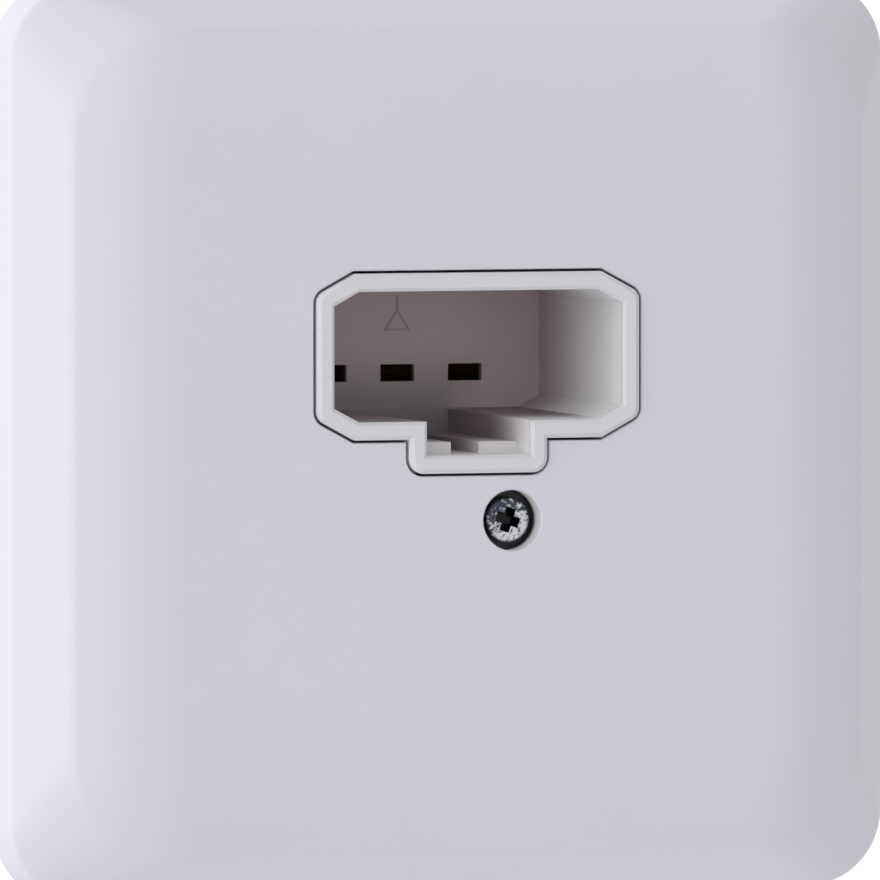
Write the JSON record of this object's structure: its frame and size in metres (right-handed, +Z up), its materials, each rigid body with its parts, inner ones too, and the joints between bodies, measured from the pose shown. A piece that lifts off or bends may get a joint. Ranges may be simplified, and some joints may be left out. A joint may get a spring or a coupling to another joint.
{
  "type": "lighting connection outlet",
  "caption": "Flush outlet for a luminaire plug: square pillow-shaped cover, T-shaped plug pocket with blade slots, cover screw, steel strap and push-in terminals.",
  "frame": {"origin": "middle of the box screw pattern, on the wall face", "axes": "+X to the right as seen from the room, +Z up, +Y into the wall, so the cover faces -Y"},
  "size_m": [0.085, 0.041, 0.085],
  "materials": {
    "cover_plastic": "satin white moulding",
    "housing_plastic": "smooth white moulding",
    "rear_plastic": "fine matt grey moulding",
    "strap_steel": "zinc-plated sheet",
    "screw_steel": "bright zinc plate",
    "bronze": "bright rolled strip",
    "copper": "bright rolled strip",
    "spring_steel": "bright rolled strip"
  },
  "bodies": {
    "root": {"cover_plate": "cover_plastic", "cover_screw": "screw_steel", "socket_housing": "housing_plastic", "mounting_strap": "strap_steel", "rear_cover": "rear_plastic", "contact_rivets": "copper", "strap_screws": "screw_steel", "rear_cover_screws": "screw_steel", "live_fork": "bronze", "live_bar": "copper", "live_clamp_left": "spring_steel", "live_clamp_right": "spring_steel", "earth_fork": "bronze", "earth_bar": "copper", "earth_clamp_left": "spring_steel", "earth_clamp_right": "spring_steel", "neutral_fork": "bronze", "neutral_bar": "copper", "neutral_clamp_left": "spring_steel", "neutral_clamp_right": "spring_steel"}
  },
  "joints": []
}
